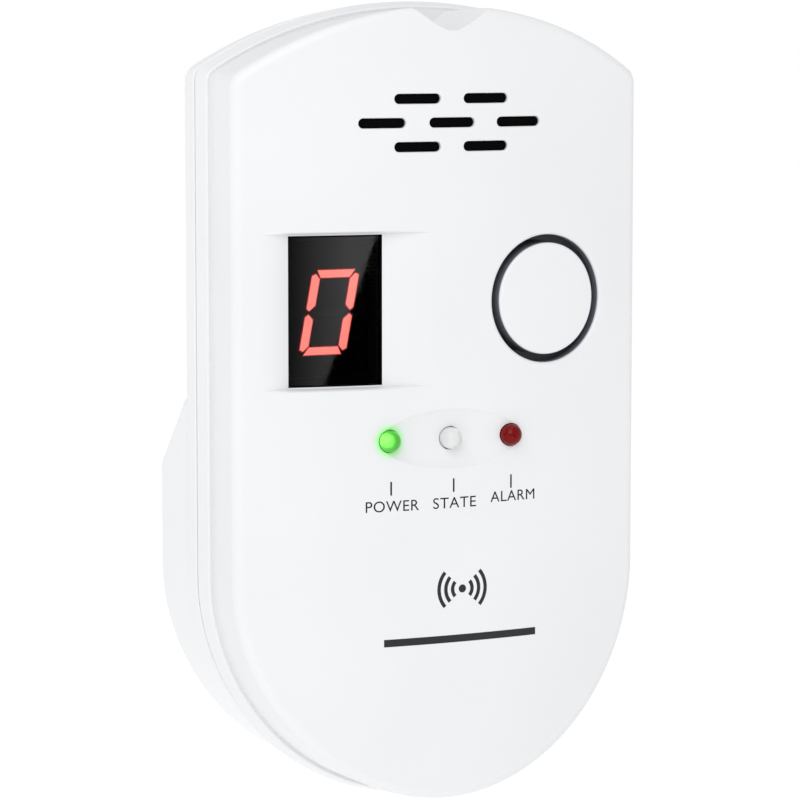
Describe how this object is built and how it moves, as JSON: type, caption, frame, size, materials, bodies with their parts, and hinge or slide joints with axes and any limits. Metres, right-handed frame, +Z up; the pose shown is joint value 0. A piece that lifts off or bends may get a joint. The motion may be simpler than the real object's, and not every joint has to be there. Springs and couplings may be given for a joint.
{
  "type": "plug-in carbon monoxide detector",
  "caption": "Shield-shaped plug-in gas alarm with a curved front, digit display, round test button, indicator lamps, vent slots and a two-blade wall plug",
  "frame": {"origin": "centre of the flat rear face of the plug block, midway between the two mains blades", "axes": "+Z up, the front face with the display looks along -Y, the mains blades point along +Y, +X to the right of a person facing the front"},
  "size_m": [0.0688, 0.0497, 0.1188],
  "materials": {
    "front_cover_plastic": "satin cool white",
    "rear_cover_plastic": "satin cool white",
    "button_plastic": "satin white",
    "smoked_window": "polished dark smoke",
    "green_lamp": "clear tinted dome",
    "clear_lamp": "water-clear dome",
    "red_lamp": "dark red tinted dome",
    "white_spacer": "moulded",
    "nickel_plated_brass": "nickel plated",
    "zinc_plated_steel": "zinc plated",
    "green_circuit_board": "solder resist",
    "black_component": "moulded",
    "grey_retainer": "moulded",
    "brown_bakelite": "moulded",
    "stainless_mesh": "pressed cap",
    "brass_disc": "rolled",
    "black_dust_mesh": "fine weave",
    "dark_ferrite": "sintered",
    "yellow_coil_tape": "tape-wrapped winding",
    "yellow_film_case": "moulded case",
    "dark_blue_can_sleeve": "shrunk sleeve",
    "blue_varistor": "dipped coating",
    "cream_ceramic_fuse": "glazed tube"
  },
  "bodies": {
    "housing": {"front_cover": "front_cover_plastic", "rear_cover": "rear_cover_plastic", "display_window": "smoked_window", "led_power": "green_lamp", "led_state": "clear_lamp", "led_alarm": "red_lamp", "led_spacer_power": "white_spacer", "led_spacer_state": "white_spacer", "led_spacer_alarm": "white_spacer", "plug_blade_left": "nickel_plated_brass", "plug_blade_right": "nickel_plated_brass", "blade_retainer": "grey_retainer", "case_screw_top_left": "zinc_plated_steel", "case_screw_top_right": "zinc_plated_steel", "case_screw_bottom_left": "zinc_plated_steel", "case_screw_bottom_right": "zinc_plated_steel", "board_screw_top_left": "zinc_plated_steel", "board_screw_top_right": "zinc_plated_steel", "board_screw_bottom_left": "zinc_plated_steel", "board_screw_bottom_right": "zinc_plated_steel", "power_board_screw_left": "zinc_plated_steel", "power_board_screw_right": "zinc_plated_steel", "retainer_screw_left": "zinc_plated_steel", "retainer_screw_right": "zinc_plated_steel", "main_board": "green_circuit_board", "power_board": "green_circuit_board", "digit_display": "black_component", "tact_switch_body": "black_component", "sensor_base": "brown_bakelite", "sensor_cap": "stainless_mesh", "buzzer_case": "black_component", "buzzer_disc": "brass_disc", "dust_mesh": "black_dust_mesh", "mcu_chip": "black_component", "board_link_header": "black_component", "transformer_core": "dark_ferrite", "transformer_coil": "yellow_coil_tape", "film_capacitor": "yellow_film_case", "smoothing_capacitor": "dark_blue_can_sleeve", "varistor": "blue_varistor", "fuse": "cream_ceramic_fuse", "choke": "dark_ferrite"},
    "button": {"test_button": "button_plastic"},
    "plunger": {"tact_switch_plunger": "black_component"}
  },
  "joints": [
    {"name": "button_press", "type": "slide", "parent": "housing", "child": "button", "axis": [0, 1, 0], "range_m": [0, 0.0008], "stiffness_N_per_m": 1500, "springref_m": -0.0003},
    {"name": "plunger_press", "type": "slide", "parent": "housing", "child": "plunger", "axis": [0, 1, 0], "range_m": [0, 0.0006]}
  ],
  "couplings": [
    {"joint": "plunger_press", "follows": "button_press", "ratio": 0.7}
  ]
}
